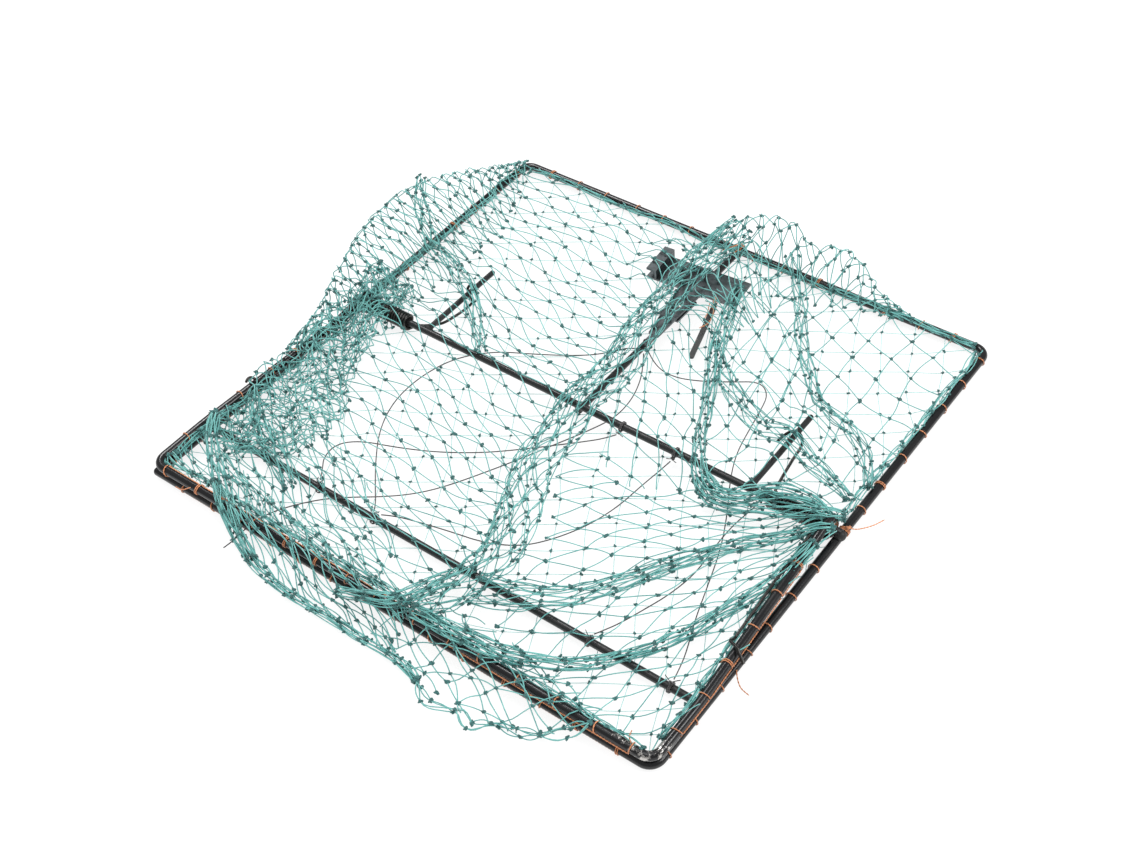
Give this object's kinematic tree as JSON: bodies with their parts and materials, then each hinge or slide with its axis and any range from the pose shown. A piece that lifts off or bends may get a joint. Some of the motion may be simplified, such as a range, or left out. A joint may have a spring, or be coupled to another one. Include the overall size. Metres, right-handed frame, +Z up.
{
  "type": "folding net trap",
  "caption": "Square steel rod frame with a spring-driven U-shaped flip frame, slack netting, a sheet-metal trigger and trip lines.",
  "frame": {"origin": "on the ground under the middle of the square base frame", "axes": "+X along the axle from left to right, +Y towards the trigger side, +Z up; the flip frame lies over the half at -Y"},
  "size_m": [0.4339, 0.44, 0.044],
  "materials": {
    "black_paint": "gloss",
    "dark_bar": "satin",
    "weld_metal": "satin",
    "washer_steel": "bright",
    "spring_steel": "bright",
    "sheet_steel": "satin",
    "net_cord": "twisted cord",
    "trip_thread": "twisted thread",
    "lashing_twine": "twisted twine",
    "latch_strip": "worn"
  },
  "bodies": {
    "base": {"base_frame": "black_paint", "axle_rod": "dark_bar", "axle_welds": "weld_metal", "axle_washers": "washer_steel", "cross_bar": "dark_bar", "cross_bar_welds": "weld_metal", "centre_rod": "dark_bar", "centre_rod_welds": "weld_metal", "left_lever": "dark_bar", "right_lever": "dark_bar", "lever_welds": "weld_metal", "left_spring_coil": "spring_steel", "right_spring_coil": "spring_steel", "net_ground": "net_cord", "net_back": "net_cord", "net_billow": "net_cord", "trip_line_knots": "trip_thread", "trip_line_1": "trip_thread", "trip_line_2": "trip_thread", "trip_line_3": "trip_thread", "trip_line_4": "trip_thread", "trip_line_5": "trip_thread", "trip_line_6": "trip_thread", "base_lashing": "lashing_twine", "back_knot": "lashing_twine", "trigger_saddle": "sheet_steel", "trigger_spacer": "washer_steel", "trigger_rivet": "washer_steel"},
    "flip": {"flip_frame": "black_paint", "left_spring_leg": "spring_steel", "right_spring_leg": "spring_steel", "flip_lashing": "lashing_twine", "net_front": "net_cord"},
    "trigger": {"trigger_plate": "sheet_steel", "nib_tie": "trip_thread", "latch_tie": "lashing_twine"},
    "latch": {"latch_stick": "latch_strip"}
  },
  "joints": [
    {"name": "flip_hinge", "type": "hinge", "parent": "base", "child": "flip", "pos_m": [0, 0, 0.00945], "axis": [-1, 0, 0], "range_deg": [0, 175], "stiffness_Nm_per_rad": 0.3, "springref_deg": -34.38, "deforming": ["left_spring_leg", "right_spring_leg", "left_spring_coil", "right_spring_coil", "net_front", "net_back", "net_billow"]},
    {"name": "trigger_pivot", "type": "hinge", "parent": "base", "child": "trigger", "pos_m": [0, 0.117, 0.0093], "axis": [0, 0, 1], "range_deg": [-12, 12]},
    {"name": "latch_tie_hinge", "type": "hinge", "parent": "trigger", "child": "latch", "pos_m": [0.0215, 0.129, 0.0072], "axis": [-0.9686, -0.2487, 0], "range_deg": [0, 130], "deforming": ["latch_tie"]}
  ]
}
